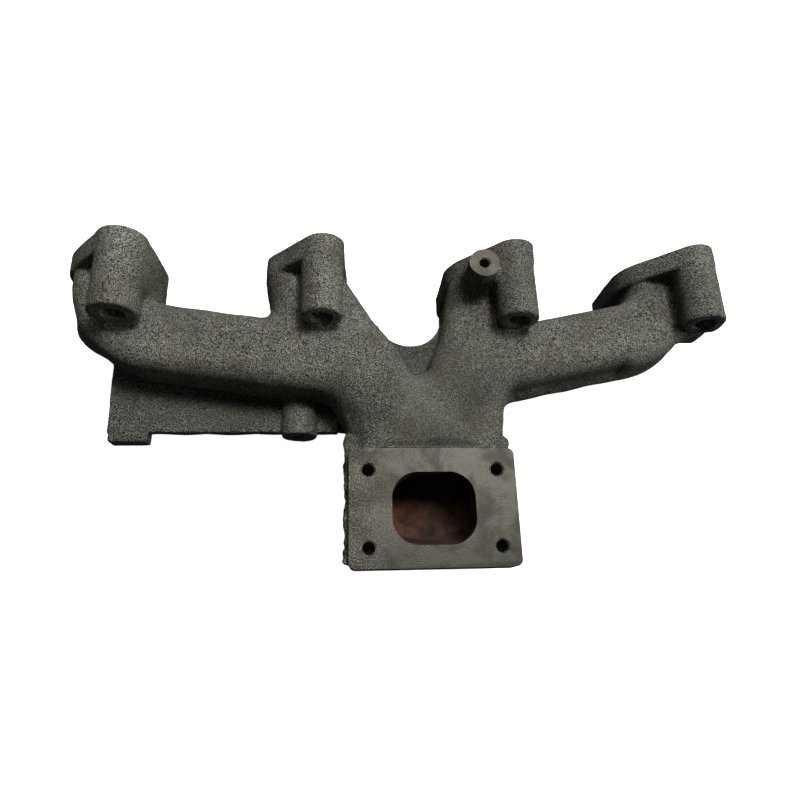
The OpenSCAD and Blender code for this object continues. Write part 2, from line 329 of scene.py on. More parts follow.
def ducts(p):
    """Outside of the runners and port tubes."""
    side = SECTION
    left = within(p, (-250, 60, -40), (-30, 180, 25), lambda q: smooth_min(
        np.minimum(bend(q, LEFT_BEND, 180, 270 - LEFT_ANGLE, side),
                   np.minimum(bar(q, np.array([PORT_X[0], HEAD_Y - 3]), LEFT_BEND - [BEND_R, 0],
                                  side),
                              bar(q, LEFT_START, LEFT_END, side))),
        np.linalg.norm(q - np.array([-222.5, 126.5, -14]), axis=1) - 15.5, 8))
    second = within(p, (-115, 60, -40), (-10, 180, 25), lambda q: smooth_min(
        bar(q, np.array([PORT_X[1], HEAD_Y - 3]), np.array([PORT_X[1], 108.0]), ROUND_SECTION),
        bar(q, DIAGONAL_TOP, DIAGONAL_END, side), 8))
    third = within(p, (0, 60, -40), (75, 180, 25), lambda q: bar(
        q, THIRD_TOP, THIRD_END, side))
    right = within(p, (20, 60, -40), (210, 180, 25), lambda q: smooth_min(np.minimum(
        bend(q, RIGHT_BEND, RIGHT_ANGLE - 90, 4, side),
        bar(q, RIGHT_START + INWARD, RIGHT_END + INWARD, SLIM_SECTION)), ledge(q), 3.5))
    out = smooth_min(smooth_min(left, second, 9), smooth_min(third, right, 10), 8)
    return out - flash(p)


def ledge(p):
    """Rounded step along the foot of the right runner and its elbow."""
    out, drop, r = 17.5, 7.0, 7.6
    side = np.array([math.sin(RIGHT_FALL), -math.cos(RIGHT_FALL)])
    a, b = RIGHT_START + out * side, RIGHT_END + out * side
    t = (b - a) / np.hypot(*(b - a))
    dx, dy = p[:, 0] - a[0], p[:, 1] - a[1]
    u = dx * t[0] + dy * t[1]
    across = dy * t[0] - dx * t[1]
    over = np.maximum(np.maximum(-u, u - np.hypot(*(b - a))), 0)
    straight = np.sqrt(across ** 2 + over ** 2 + (p[:, 2] - DUCT_Z + drop) ** 2) - r
    dx, dy = p[:, 0] - RIGHT_BEND[0], p[:, 1] - RIGHT_BEND[1]
    angle = np.clip(np.arctan2(dy, dx), math.radians(RIGHT_ANGLE - 90), math.radians(-20))
    radius = BEND_R + out
    bent = np.sqrt((dx - radius * np.cos(angle)) ** 2 + (dy - radius * np.sin(angle)) ** 2
                   + (p[:, 2] - DUCT_Z + drop) ** 2) - r
    return np.minimum(straight, bent)


def port_circles(i):
    """Circles (X, Z, radius) around a port flange's outline, from its upper bolt."""
    ring = (30, 27.5, 29, 30)[i]
    circles = [(0, 0, COLUMN_R[i]), (-PORT_SHIFT, DUCT_Z - BOLT_Z, ring), (*LOWER_BOLT, 13),
               (4, -46.5, 12)]
    return circles + ([(-27.5, -24.5, 12)] if i < 3 else [])


def port_plate(p, i):
    """Head flange of one port."""
    x = COLUMN_X[i]

    def field(q):
        outline = circle_hull(q[:, 0] - x, q[:, 2] - BOLT_Z, port_circles(i))
        y0, y1 = PLATE_Y, HEAD_Y + 6
        return capped(outline, np.abs(q[:, 1] - (y0 + y1) / 2) - (y1 - y0) / 2, 2.0)
    return within(p, (x - 46, 155, -60), (x + 20, 182, 42), field)


def column(p, i):
    """Bolt column of one port, with the web that stands under it."""
    x, r = COLUMN_X[i], COLUMN_R[i]

    def field(q):
        dx, dz = q[:, 0] - x, q[:, 2] - BOLT_Z
        y0, y1 = COLUMN_END_Y, HEAD_Y + 4
        axial = np.abs(q[:, 1] - (y0 + y1) / 2) - (y1 - y0) / 2
        round_bar = capped(np.hypot(dx, dz) - r, axial, 1.6)
        web = box_field(q, (x - r + 2.5, y0 + 5, 2), (x + r - 2.5, y1, BOLT_Z), 1.5)
        return smooth_min(round_bar, web, 2.5)
    return within(p, (x - r, COLUMN_END_Y, 0), (x + r, HEAD_Y + 6, 42), field)


def side_webs(p):
    """Solid corner between the first column and its elbow, and the third port's lower column."""
    x = COLUMN_X[0]

    def corner(q):
        wall = np.maximum(q[:, 0] - x - COLUMN_R[0] + 0.045 * (q[:, 2] - 22), x - q[:, 0])
        ends = np.maximum(138 - q[:, 1], q[:, 1] - HEAD_Y - 2)
        rise = np.maximum(-25 - q[:, 2], q[:, 2] - BOLT_Z)
        return capped(capped(wall, rise, 7.0), ends, 4.0)
    out = within(p, (x, 125, -36), (x + 18, HEAD_Y, 28), corner)
    lower = within(p, (10, 120, -60), (46, HEAD_Y + 4, -28), lambda q: cyl_y(
        q, COLUMN_X[2] + LOWER_BOLT[0], BOLT_Z + LOWER_BOLT[1], 11.4, 130, HEAD_Y + 4, 2.5))
    return np.minimum(out, lower)


def end_lug(p):
    """Thick pad under the last column's end."""
    x = COLUMN_X[3]

    def field(q):
        pad = box_field(q, (x - 11, COLUMN_END_Y, -8), (x + 11.5, 150, 12), 5)
        bump = np.linalg.norm(q - np.array([x + 9.5, COLUMN_END_Y + 7.5, 19.0]), axis=1) - 7.5
        return smooth_min(pad, bump, 4)
    return within(p, (x - 12, COLUMN_END_Y - 2, -10), (x + 20, 152, 30), field)


def bracket(p):
    """Thin plate beside the left runner, with its foot, boss and web."""
    top, y0 = BRACKET_TOP, BRACKET_Y

    def plate(q):
        edge = np.maximum(np.maximum(-217 - q[:, 0] + (q[:, 1] - 60) * -0.03, q[:, 0] + 62),
                          np.maximum(y0 - q[:, 1], q[:, 1] - 112))
        edge = np.where(q[:, 0] > BOSS_X, np.maximum(edge, np.maximum(
            q[:, 1] - 76, 0.6 * (q[:, 0] + 61) + 0.8 * (q[:, 1] - 68))), edge)
        return capped(edge, np.abs(q[:, 2] - (top - 4)) - 4, 1.2)
    out = within(p, (-220, 50, -40), (-60, 112, -20), plate)
    foot = within(p, (-220, 48, -42), (-188, 62, -22), lambda q: box_field(
        q, (-216, y0 - 6.5, top - 13), (-190, y0 + 4, top + 0.2), 2.0))
    out = smooth_min(out, foot, 2)
    boss = within(p, (-102, 50, -40), (-74, 100, -12), lambda q: cyl_y(
        q, BOSS_X, top, 12, y0 - 4, 98, 1.5))
    out = smooth_min(out, boss, 3)
    web = within(p, (-106, 44, -46), (-42, 102, -30), lambda q: capped(
        circle_hull(q[:, 0], q[:, 1], [(-98, y0 + 15, 5), (-98, 95, 5), (-50, 95, 5), (-50, 64, 5),
                                       (-62, y0 + 13, 5)]),
        np.abs(q[:, 2] - (top - 12)) - 4, 1.5))
    return smooth_min(out, web, 4)


def gusset(p):
    """Web between ports 2 and 3, with a round cut-out at its back edge."""
    cut_x, cut_y, cut_r = -12, 136.7, 22.7

    def field(q):
        arc = cut_r - np.hypot(q[:, 0] - cut_x, q[:, 1] - cut_y)
        side = np.maximum(np.maximum(-44 - q[:, 0], q[:, 0] - 24),
                          np.maximum(76 - q[:, 1], q[:, 1] - 130))
        return capped(np.maximum(arc, side), np.abs(q[:, 2] + 10) - 6, 3.0)
    return within(p, (-44, 76, -18), (24, 130, -2), field)


def notch(p):
    """Clearance above the gusset, with crisp edges along the two arms beside it."""
    def field(q):
        corners = np.array([(-10.8, 88.2), (-0.5, 91.6), (4.2, 109.2), (9.8, 130), (-36, 130)])
        out = -4.6 - q[:, 2]
        for a, b in zip(corners, np.roll(corners, -1, axis=0)):
            x, y = (b - a) / np.hypot(*(b - a))
            out = np.maximum(out, y * (q[:, 0] - a[0]) - x * (q[:, 1] - a[1]))
        return out
    return within(p, (-36, 88, -4.6), (10, 130, 24), field)


def creases(p):
    """Grooves where the gusset meets the two arms and the neck."""
    groove_z, groove_r = -3.2, 1.9

    def field(q):
        path = np.array([(-31, 121), (-10.6, 88.6), (-0.6, 91.6), (4.2, 109.2), (10.4, 129)])
        out = np.full(len(q), 50.0)
        for a, b in zip(path[:-1], path[1:]):
            t = (b - a) / np.hypot(*(b - a))
            u = np.clip((q[:, 0] - a[0]) * t[0] + (q[:, 1] - a[1]) * t[1], 0,
                        np.hypot(*(b - a)))
            out = np.minimum(out, np.hypot(q[:, 0] - a[0] - u * t[0], q[:, 1] - a[1] - u * t[1]))
        return np.hypot(out, q[:, 2] - groove_z) - groove_r
    return within(p, (-34, 86, -6), (13, 132, 0), field, 4.0)


def sensor(p):
    """Round boss for the sensor, on a leaning foot."""
    def field(q):
        stem = cyl_z(q, *SENSOR, 10.0, -6, SENSOR_Z + 5, 0.8)
        foot = np.linalg.norm((q - np.array([*(SENSOR + [3, 2]), 10.0])) * [1, 1, 0.75],
                              axis=1) - 12.5
        return smooth_min(stem, foot, 6)
    return within(p, (*(SENSOR - 16), -10), (*(SENSOR + 16), SENSOR_Z + 6), field)


def flange_plate(p):
    """Turbo flange, 3 mm over its finished height."""
    low, high, r = FLANGE_LOW, FLANGE_HIGH, 4.5
    corners = [(x, y, r) for x in (low[0] + r, high[0] - r) for y in (low[1] + r, high[1] - r)]
    return within(p, low, high, lambda q: capped(
        circle_hull(q[:, 0], q[:, 1], corners, 72),
        np.abs(q[:, 2] - (3 - FLANGE_T) / 2) - (3 + FLANGE_T) / 2, 1.0))


def shoulder(p):
    """Rough strip left by the mould along the flange's left side, and two lumps."""
    def field(q):
        rough = 0.7 * ripple(q, 17, 5) + 0.45 * ripple(q, 7, 6)
        strip = box_field(q, (-57.2, -33, -FLANGE_T), (-46, 50, -6.0), 2.0) + rough
        lump = np.linalg.norm((q - np.array([-49, 47, -9.5])) * [1, 1, 1.2], axis=1) - 7.5
        nub = np.linalg.norm(q - np.array([50.5, 45.0, -12.5]), axis=1) - 5.0
        return smooth_min(smooth_min(strip, lump + 0.5 * rough, 3), nub + 0.4 * rough, 3)
    return within(p, (-60, -38, -FLANGE_T - 2), (60, 56, 0), field)


def cavity(p):
    """Gas passages, from the four ports to the turbo mouth."""
    bore, slim = (BORE_R,) * 3, (SLIM_BORE_R,) * 3
    ports = [np.array([x, HEAD_Y + 30.0]) for x in PORT_X]
    left = within(p, (-240, 60, -32), (-20, 210, 14), lambda q: smooth_min(
        np.minimum(np.minimum(bend(q, LEFT_BEND, 180, 270 - LEFT_ANGLE, bore),
                              bar(q, ports[0], LEFT_BEND - [BEND_R, 0], bore)),
                   bar(q, LEFT_START, LEFT_END, bore)),
        smooth_min(bar(q, ports[1], np.array([PORT_X[1], 118.0]), bore),
                   bar(q, DIAGONAL_TOP, DIAGONAL_END, bore), 4), 4))
    right = within(p, (0, 60, -32), (200, 210, 14), lambda q: smooth_min(
        np.minimum(np.minimum(bend(q, RIGHT_BEND, RIGHT_ANGLE - 90, 4, bore),
                              bar(q, ports[3], RIGHT_BEND + [BEND_R, 0], bore)),
                   bar(q, RIGHT_START + INWARD, RIGHT_END + INWARD, slim)),
        bar(q, THIRD_TOP + 0.4 * (THIRD_TOP - THIRD_END), THIRD_END, bore), 4))
    inner = within(p, *INNER_NECK_BOX, INNER_NECK, 0)
    corners = [(sx * MOUTH[0], sy * MOUTH[1], MOUTH_BORE_R) for sx in (-1, 1) for sy in (-1, 1)]
    mouth = within(p, (-30, -26, -32), (30, 26, 8), lambda q: np.maximum(
        circle_hull(q[:, 0], q[:, 1], corners), np.abs(q[:, 2] + 10) - 20))
    out = smooth_min(smooth_min(left, right, 4), inner, 5)
    return smooth_min(out, mouth, 2.0)


def outside(p):
    """Outer skin of the casting, before machining."""
    body = ducts(p)
    body = smooth_min(body, within(p, *OUTER_NECK_BOX, OUTER_NECK, 0), 9)
    body = smooth_max(body, -notch(p), 2.2)
    body = smooth_max(smooth_min(body, gusset(p), 0.7), -creases(p), 0.8)
    body = smooth_min(body, bracket(p), 4)
    body = smooth_min(body, side_webs(p), 4)
    for i in range(4):
        body = smooth_min(body, smooth_min(port_plate(p, i), column(p, i), 2.5), 2.2)
    body = smooth_min(body, end_lug(p), 5)
    body = smooth_min(body, sensor(p), 5)
    body = body + 0.17 * ripple(p, 30, 1) + 0.06 * ripple(p, 9, 2)
    body = smooth_min(body, smooth_min(flange_plate(p), shoulder(p), 1.5), 2.0)
    lead = 0.75 * p[:, 2] - 0.66 * (p[:, 1] - FLANGE_HIGH[1] - 0.3)
    face = np.maximum(np.minimum(p[:, 2] - 0.5, lead), body)
    return np.where((np.abs(p[:, 0]) < 75) & (p[:, 1] < FLANGE_HIGH[1] + 12), face, body)


def casting(p):
    """The whole casting: outer skin less the gas passages."""
    p = p.astype(np.float32)
    out = outside(p)
    near = out < 12
    hollow = np.full(len(p), FAR, np.float32)
    hollow[near] = cavity(p[near]) + 0.25 * ripple(p[near], 17, 3)
    return np.maximum(out, -hollow)


# ------------------------------------------------------------------ meshing
def sample(low, high):
    """Field on a grid of cells: all points near the skin, and only the sign elsewhere."""
    step = 4
    blocks = np.ceil((high - low) / (CELL * step)).astype(int)
    axes = [low[k] + CELL * (np.arange(blocks[k]) * step + 1.5) for k in range(3)]
    centres = np.stack(np.meshgrid(*axes, indexing="ij"), axis=-1).reshape(-1, 3)
    coarse = casting(centres)
    grid = np.repeat(np.repeat(np.repeat(
        coarse.reshape(blocks), step, 0), step, 1), step, 2)
    near = np.argwhere(np.abs(coarse.reshape(blocks)) < CELL * step * 0.87 + 1.6)
    offsets = np.stack(np.meshgrid(*[np.arange(step)] * 3, indexing="ij"), -1).reshape(-1, 3)
    for k in range(0, len(near), 12000):
        spots = (near[k:k + 12000, None, :] * step + offsets[None]).reshape(-1, 3)
        grid[tuple(spots.T)] = casting(low + CELL * spots)
    return grid


def zero_level(grid, low):
    """Points and outward-facing quads around the zero level of the grid."""
    volume = openvdb.FloatGrid(5.0)
    volume.copyFromArray(np.clip(grid, -5, 5).astype(np.float32))
    points, quads = volume.convertToQuads(0.0)
    points = low + CELL * points.astype(np.float64)
    a, b, c, d = (points[quads[:, k]] for k in range(4))
    swept = np.sum(np.cross(c - a, d - b) * (a + b + c + d))
    return points, (quads if swept > 0 else quads[:, ::-1]).astype(np.int32)


def slope_lattice(grid, low):
    """Unit surface normals on the grid."""
    return Lattice(low, CELL, np.stack(np.gradient(grid), axis=-1))


def normal_at(slopes, p):
    found = slopes(p)
    return found / (np.linalg.norm(found, axis=1, keepdims=True) + 1e-9)


def settle(points, slopes, rounds=2):
    """Moves points onto the zero level."""
    for _ in range(rounds):
        points = points - normal_at(slopes, points) * np.clip(casting(points), -0.5, 0.5)[:, None]
    return points


def mesh_object(name, points, faces):
    mesh = bpy.data.meshes.new(name)
    mesh.from_pydata([tuple(q) for q in points], [], [tuple(f) for f in faces])
    mesh.update()
    piece = bpy.data.objects.new(name, mesh)
    bpy.context.scene.collection.objects.link(piece)
    return piece


def quad_object(name, points, quads):
    mesh = bpy.data.meshes.new(name)
    mesh.vertices.add(len(points))
    mesh.vertices.foreach_set("co", points.astype(np.float32).ravel())
    mesh.loops.add(4 * len(quads))
    mesh.loops.foreach_set("vertex_index", quads.astype(np.int32).ravel())
    mesh.polygons.add(len(quads))
    mesh.polygons.foreach_set("loop_start", np.arange(0, 4 * len(quads), 4, dtype=np.int32))
    mesh.update(calc_edges=True)
    mesh.validate()
    piece = bpy.data.objects.new(name, mesh)
    bpy.context.scene.collection.objects.link(piece)
    return piece


def revolve(origin, axis, profile, sides=64):
    """Closed turned solid; profile is (radius, position along axis) pairs."""
    axis = np.array(axis, float)
    helper = np.array([0.0, 0, 1]) if abs(axis[2]) < 0.9 else np.array([1.0, 0, 0])
    e1 = np.cross(helper, axis)
    e1 /= np.linalg.norm(e1)
    e2 = np.cross(axis, e1)
    turn = np.arange(sides) * 2 * math.pi / sides
    points, faces = [], []
    for r, s in profile:
        ring = (np.array(origin) + s * axis
                + r * (np.cos(turn)[:, None] * e1 + np.sin(turn)[:, None] * e2))
        points += list(ring)
    for k in range(len(profile) - 1):
        for j in range(sides):
            a, b = k * sides + j, k * sides + (j + 1) % sides
            faces.append((a, b, b + sides, a + sides))
    faces.append(tuple(range(sides))[::-1])
    last = (len(profile) - 1) * sides
    faces.append(tuple(range(last, last + sides)))
    return points, faces


def prism(outline, z0, z1, foot=None):
    """Closed prism over a counter-clockwise plan outline, tapered to the foot outline."""
    n = len(outline)
    points = [(x, y, z0) for x, y in foot or outline] + [(x, y, z1) for x, y in outline]
    faces = [(k, (k + 1) % n, n + (k + 1) % n, n + k) for k in range(n)]
    return points, faces + [tuple(range(n))[::-1], tuple(range(n, 2 * n))]


def block(low, high):
    return prism([(low[0], low[1]), (high[0], low[1]), (high[0], high[1]), (low[0], high[1])],
                 low[2], high[2])


def joined(solids):
    points, faces = [], []
    for p, f in solids:
        shift = len(points)
        points += list(p)
        faces += [tuple(i + shift for i in face) for face in f]
    return points, faces


def combine(piece, solid, operation):
    """Result mesh of one boolean, with the piece left as it was."""
    tool = mesh_object("tool", *solid)
    modifier = piece.modifiers.new("cut", "BOOLEAN")
    modifier.operation = operation
    modifier.solver = "MANIFOLD"
    modifier.object = tool
    graph = bpy.context.evaluated_depsgraph_get()
    mesh = bpy.data.meshes.new_from_object(piece.evaluated_get(graph))
    piece.modifiers.remove(modifier)
    old = tool.data
    bpy.data.objects.remove(tool)
    bpy.data.meshes.remove(old)
    return mesh


def thread_profile(radius, depth, pitch, chamfer, above=1.0):
    """Tapped blind hole: drill point, rings of thread, chamfered mouth; 0 is the mouth."""
    crest, root = radius - 0.45, radius + 0.25
    profile = [(0.05, -depth - radius * 0.5), (crest, -depth)]
    s = -depth + pitch
    while s < -chamfer - pitch:
        profile += [(crest, s), (root, s + pitch / 2)]
        s += pitch
    return profile + [(crest, -chamfer - 0.4), (radius - 0.2, -chamfer),
                      (radius + chamfer, 0), (radius + chamfer, above)]


def mouth_outline(r):
    """Plan of the turbo mouth with corners of radius r."""
    turn = np.arange(96) * 2 * math.pi / 96 + math.pi / 96
    return [(MOUTH[0] * np.sign(math.cos(a)) + r * math.cos(a),
             MOUTH[1] * np.sign(math.sin(a)) + r * math.sin(a)) for a in turn]


def cutters():
    """Solids of the machined planes, and of the drilled, tapped and milled holes."""
    far = 60
    big = [block((-300, HEAD_Y, -120), (300, HEAD_Y + far, 120)),
           block((-75, -60, 0), (75, float(FLANGE_HIGH[1]) + 0.3, 20)),
           block((*(SENSOR - 14), SENSOR_Z), (*(SENSOR + 14), SENSOR_Z + far))]
    holes = []
    head_end = [(BOLT_HOLE_R, HEAD_Y - 0.8), (BOLT_MOUTH_R, HEAD_Y + 0.1),
                (BOLT_MOUTH_R, HEAD_Y + 5)]
    column_end = [(SPOT_FACE_R, COLUMN_END_Y - 3), (SPOT_FACE_R, COLUMN_END_Y - 0.2),
                  (BOLT_HOLE_R, COLUMN_END_Y + 1.2)]
    for i, x in enumerate(COLUMN_X):
        holes.append(revolve((x, 0, BOLT_Z), (0, 1, 0), column_end + head_end))
        lower_start = 128 if i == 2 else PLATE_Y - 9
        holes.append(revolve((x + LOWER_BOLT[0], 0, BOLT_Z + LOWER_BOLT[1]), (0, 1, 0),
                             [(BOLT_HOLE_R, lower_start)] + head_end))
    holes.append(prism(mouth_outline(MOUTH_RIM_R), -15, 5, mouth_outline(MOUTH_FOOT_R)))
    for sx in (-1, 1):
        for sy in (-1, 1):
            holes.append(revolve((sx * STUDS[0], sy * STUDS[1], 0), (0, 0, 1),
                                 thread_profile(*STUD_TAP), 48))
    holes.append(revolve((*SENSOR, SENSOR_Z), (0, 0, 1), thread_profile(*SENSOR_TAP), 48))
    holes.append(revolve((BOSS_X, BRACKET_Y - 4, BRACKET_TOP), (0, -1, 0),
                         thread_profile(*BOSS_TAP, 3), 48))
    return joined(big), joined(holes)


def region_list():
    """Region solids in the order that they are taken off the casting, with their CAD nodes."""
    x, far, fy = COLUMN_X, 130, float(FLANGE_HIGH[1])
    boss_low, boss_high = BOSS_X - 12.5, BOSS_X + 12.5
    web_top = -34.2
    regions = []
    for i in range(4):
        regions.append((f"port_flange_{i + 1}", block((x[i] - 60, PLATE_Y, -far),
                                                      (x[i] + 40, HEAD_Y + 20, far))))
    for i in range(4):
        r = COLUMN_R[i] + 0.4
        regions.append((f"bolt_column_{i + 1}", block((x[i] - r, 100, 9.5),
                                                      (x[i] + r + (8 if i == 3 else 0),
                                                       PLATE_Y, far))))
    regions.append(("column_lug_4", block((x[3] - 12, 100, -20), (x[3] + 30, 150, 9.5))))
    regions.append(("sensor_boss", block((*(SENSOR - 13), 13.2),
                                         (x[2] - COLUMN_R[2] - 0.4, PLATE_Y, far))))
    edge = float(FLANGE_LOW[0])
    regions.append(("flange_shoulder", block((-80, -60, -FLANGE_T), (edge + 0.3, 53, 5))))
    regions.append(("turbo_flange", block((edge + 0.3, -60, -FLANGE_T), (80, fy, 5))))
    regions.append(("turbo_elbow_left", block((-80, -60, -far), (80, fy, -FLANGE_T))))
    regions.append(("bracket_foot", block((-250, 30, -far), (-189.5, BRACKET_Y, 0))))
    regions.append(("bracket_boss", block((boss_low, 30, -38.4), (boss_high, 74, -13.4))))
    regions.append(("bracket_ear", block((boss_high, 30, web_top), (-56, 77, -24))))
    regions.append(("bracket_web", block((-106.5, 30, -far), (-56, 77, web_top))))
    left = [(-250, 30), (boss_low, 30), (boss_low, 79.5), (LEFT_START[0], 91.6), (-250, 100.5)]
    regions.append(("bracket_plate", prism(left, -far, -20)))
    regions.append(("gusset_web", prism([(-33, 140), (-37, 118), (-19, 89), (4, 89), (10, 118),
                                         (10, 140)], -20, -3.2)))
    fall = np.array([math.cos(LEFT_FALL), -math.sin(LEFT_FALL)])
    side = np.array([-fall[1], fall[0]])
    start, cut = LEFT_START, LEFT_CUT
    regions.append(("elbow_1", prism([(-260, 60), tuple(start - 60 * side),
                                      tuple(start + 30 * side), (-150, 200), (-260, 200)],
                                     -far, far)))
    regions.append(("runner_1", prism([(-260, 40), tuple(cut - 60 * side), tuple(cut + 60 * side),
                                       (-150, 200), (-260, 200)], -far, far)))
    rise = np.array([math.cos(RIGHT_FALL), math.sin(RIGHT_FALL)])
    side = np.array([-rise[1], rise[0]])
    start, cut = RIGHT_START, RIGHT_CUT
    regions.append(("elbow_4", prism([tuple(start - 60 * side), (260, 60), (260, 200), (120, 200),
                                      tuple(start + 30 * side)], -far, far)))
    regions.append(("runner_4", prism([tuple(cut - 60 * side), (260, 40), (260, 200), (90, 200),
                                       tuple(cut + 60 * side)], -far, far)))
    regions.append(("port_tube_2", block((-250, 138, -far), (-4, 200, far))))
    regions.append(("port_tube_3", block((-4, 138, -far), (250, 200, far))))
    regions.append(("neck", block((-250, -60, -far), (250, 66, far))))
    regions.append(("collector_left", block((-250, 60, -far), (-56, 200, far))))
    regions.append(("collector_centre", block((-250, 60, -far), (-4, 200, far))))
    return regions


# ------------------------------------------------------------------ materials
class Graph:
    """Small helper for building a node tree."""

    def __init__(self, name):
        self.material = bpy.data.materials.new(name)
        self.material.use_nodes = True
        self.nodes = self.material.node_tree.nodes
        self.links = self.material.node_tree.links
        self.shader = self.nodes["Principled BSDF"]
        self.place = self.add("ShaderNodeTexCoord").outputs["Object"]

    def add(self, kind, **values):
        node = self.nodes.new(kind)
        for key, value in values.items():
            setattr(node, key, value)
        return node

    def link(self, source, node, socket):
        self.links.new(source, node.inputs[socket])

    def noise(self, scale, detail=3.0, rough=0.55, distortion=0.0, place=None):
        node = self.add("ShaderNodeTexNoise")
        node.inputs["Scale"].default_value = scale
        node.inputs["Detail"].default_value = detail
        node.inputs["Roughness"].default_value = rough
        node.inputs["Distortion"].default_value = distortion
        self.link(place or self.place, node, "Vector")
        return node.outputs["Fac"]

    def axis(self, index):
        node = self.add("ShaderNodeSeparateXYZ")
        self.link(self.place, node, "Vector")
        return node.outputs[index]

    def ramp(self, value, *stops):
        """Colour ramp through (position, colour) stops."""
        node = self.add("ShaderNodeValToRGB")
        points = node.color_ramp.elements
        while len(points) < len(stops):
            points.new(0.5)
        for point, (position, colour) in zip(points, stops):
            point.position = position
            point.color = (*colour, 1)
        self.link(value, node, "Fac")
        return node.outputs["Color"]

    def span(self, value, a, b, c=0.0, d=1.0):
        """Value a to b, mapped onto c to d and held there."""
        node = self.add("ShaderNodeMapRange")
        node.inputs["From Min"].default_value = a
        node.inputs["From Max"].default_value = b
        node.inputs["To Min"].default_value = c
        node.inputs["To Max"].default_value = d
        self.link(value, node, "Value")
        return node.outputs["Result"]

    def mix(self, factor, a, b):
        """Colours a and b, where each input may be a value or a socket."""
        node = self.add("ShaderNodeMix", data_type="RGBA")
        for socket, value in ((0, factor), (6, a), (7, b)):
            if hasattr(value, "is_output"):
                self.links.new(value, node.inputs[socket])
            elif socket:
                node.inputs[socket].default_value = (*value, 1)
            else:
                node.inputs[socket].default_value = value
        return node.outputs[2]

    def maths(self, operation, a, b=0.5):
        node = self.add("ShaderNodeMath", operation=operation)
        for socket, value in ((0, a), (1, b)):
            if hasattr(value, "is_output"):
                self.links.new(value, node.inputs[socket])
            else:
                node.inputs[socket].default_value = value
        return node.outputs[0]

    def bump(self, height, distance, strength=1.0, normal=None):
        node = self.add("ShaderNodeBump")
        node.inputs["Distance"].default_value = distance
        node.inputs["Strength"].default_value = strength
        self.link(height, node, "Height")
        if normal is not None:
            self.link(normal, node, "Normal")
        return node.outputs["Normal"]


def shade(r, g, b):
    """Linear colour from 0-255 display values."""
    return tuple(((c / 255 + 0.055) / 1.055) ** 2.4 if c > 10 else c / 255 / 12.92
                 for c in (r, g, b))


def cast_iron(name, dark, light, grain=1.0):
    """Speckled sand-cast skin, smoother around the neck, with painted shade that darkens it
    towards the right.
    """
    brown, green, painted_right_shade, orange = (shade(88, 72, 50), shade(62, 78, 72), shade(20, 20, 17),
                                  shade(96, 60, 40))
    g = Graph(name)
    fine = g.noise(1500, 1.0, 0.5)
    pits = g.noise(850, 2.0, 0.55)
    broad = g.noise(34, 4.0, 0.55)
    patch = g.noise(14, 3.0, 0.5)
    tint = g.noise(52, 4.0, 0.6, 0.4)
    away = g.add("ShaderNodeVectorMath", operation="DISTANCE")
    away.inputs[1].default_value = (0.006, 0.066, 0.004)
    g.link(g.place, away, 0)
    patchy = g.maths("ADD", away.outputs["Value"], g.maths("MULTIPLY", broad, 0.02))
    rough = g.span(patchy, 0.034, 0.058, 0.45, 1.0)
    speckle = g.maths("ADD", g.maths("MULTIPLY", fine, 0.65), g.maths("MULTIPLY", pits, 0.35))
    middle = tuple(0.45 * a + 0.37 * b for a, b in zip(dark, light))
    grains = g.ramp(speckle, (0.42, dark), (0.50, middle), (0.585, light))
    base = g.mix(rough, middle, grains)
    base = g.mix(g.span(broad, 0.38, 0.7, 0.0, 0.35), base, tuple(0.8 * c for c in dark))
    base = g.mix(g.span(tint, 0.53, 0.68, 0.0, 0.45), base, brown)
    base = g.mix(g.span(patch, 0.56, 0.70, 0.0, 0.25), base, green)
    # painted shade: the colour grows darker towards +X, where the key lamp lights the casting more
    base = g.mix(g.span(g.axis(0), -0.18, 0.02, 0.02, 0.33), base, painted_right_shade)
    rust = g.noise(95, 5.0, 0.62, 0.8)
    base = g.mix(g.span(rust, 0.64, 0.76, 0.0, 0.42), base, orange)
    g.link(base, g.shader, "Base Color")
    gloss = g.span(speckle, 0.40, 0.60, 0.78, 0.50)
    g.link(g.maths("ADD", gloss, g.span(rough, 0.35, 1.0, 0.16, 0.0)), g.shader, "Roughness")
    g.shader.inputs["Metallic"].default_value = 0.28
    g.shader.inputs["Specular IOR Level"].default_value = 0.45
    lumps = g.noise(230, 3.0, 0.5)
    normal = g.bump(lumps, 0.0010, 0.30 * grain)
    normal = g.bump(g.maths("MULTIPLY", pits, rough), 0.0010, 0.8 * grain, normal)
    normal = g.bump(g.maths("MULTIPLY", fine, rough), 0.0007, 1.0 * grain, normal)
    g.link(normal, g.shader, "Normal")
    return g.material


